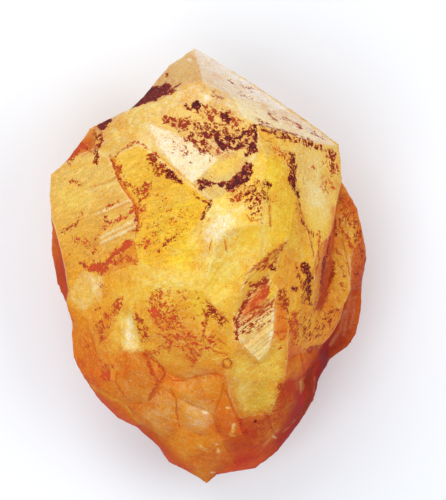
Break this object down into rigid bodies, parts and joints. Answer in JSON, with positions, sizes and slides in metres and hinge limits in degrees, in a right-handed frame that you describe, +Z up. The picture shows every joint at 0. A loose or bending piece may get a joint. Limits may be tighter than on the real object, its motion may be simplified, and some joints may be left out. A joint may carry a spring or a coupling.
{
  "type": "heliodor crystal",
  "caption": "Stubby natural crystal of translucent golden yellow, iron-stained, with a wedge point, stepped faces and a broken lower end.",
  "frame": {"origin": "middle of the bounding box on the flat prism face that the crystal lies on", "axes": "+Z up out of the face it lies on, +Y towards the pointed end, +X to the side of the smaller crystal"},
  "size_m": [0.095, 0.131, 0.071],
  "materials": {
    "heliodor": "natural vitreous faces with iron stains"
  },
  "bodies": {
    "root": {"heliodor_crystal": "heliodor"}
  },
  "joints": []
}
